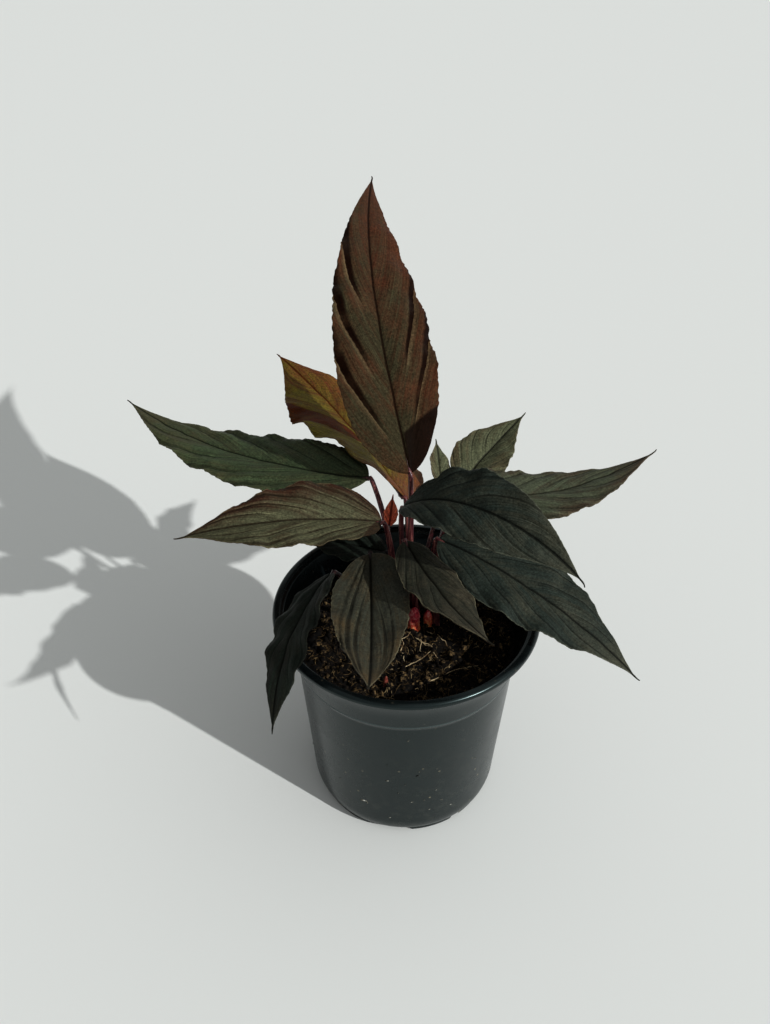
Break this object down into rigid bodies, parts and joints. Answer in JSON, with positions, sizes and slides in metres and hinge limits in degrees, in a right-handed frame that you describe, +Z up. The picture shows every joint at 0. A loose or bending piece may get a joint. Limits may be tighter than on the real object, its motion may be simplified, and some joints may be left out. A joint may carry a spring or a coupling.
{
  "type": "potted plant",
  "caption": "Low clump of lance-shaped, wavy, velvety dark leaves on thin red stalks, growing from a stubby crown in a round plastic nursery pot filled with potting mix.",
  "frame": {"origin": "middle of the pot's underside, on the surface the pot stands on", "axes": "+Z up; -Y is the front of the plant, +X its right as seen from the front"},
  "size_m": [0.2613, 0.2612, 0.2469],
  "materials": {
    "pot_plastic": "satin",
    "potting_mix": "matte",
    "crown": "satin",
    "stalk": "satin",
    "leaf": "matte",
    "gold_leaf": "matte",
    "young_leaf": "matte"
  },
  "bodies": {
    "root": {"pot": "pot_plastic", "potting_mix": "potting_mix", "crown_main": "crown", "crown_side": "crown", "sprout": "crown", "blade_tall": "leaf", "stalk_tall": "stalk", "blade_gold": "gold_leaf", "stalk_gold": "stalk", "blade_left_upper": "leaf", "stalk_left_upper": "stalk", "blade_left_lower": "leaf", "stalk_left_lower": "stalk", "blade_hanging": "leaf", "stalk_hanging": "stalk", "blade_front": "leaf", "stalk_front": "stalk", "blade_front_right": "leaf", "stalk_front_right": "stalk", "blade_right_lower": "leaf", "stalk_right_lower": "stalk", "blade_right_arched": "leaf", "stalk_right_arched": "stalk", "blade_right_upper": "leaf", "stalk_right_upper": "stalk", "blade_back_right": "leaf", "stalk_back_right": "stalk", "blade_back_low": "leaf", "stalk_back_low": "stalk", "blade_back_middle": "leaf", "stalk_back_middle": "stalk", "blade_young": "young_leaf", "stalk_young": "stalk"}
  },
  "joints": []
}
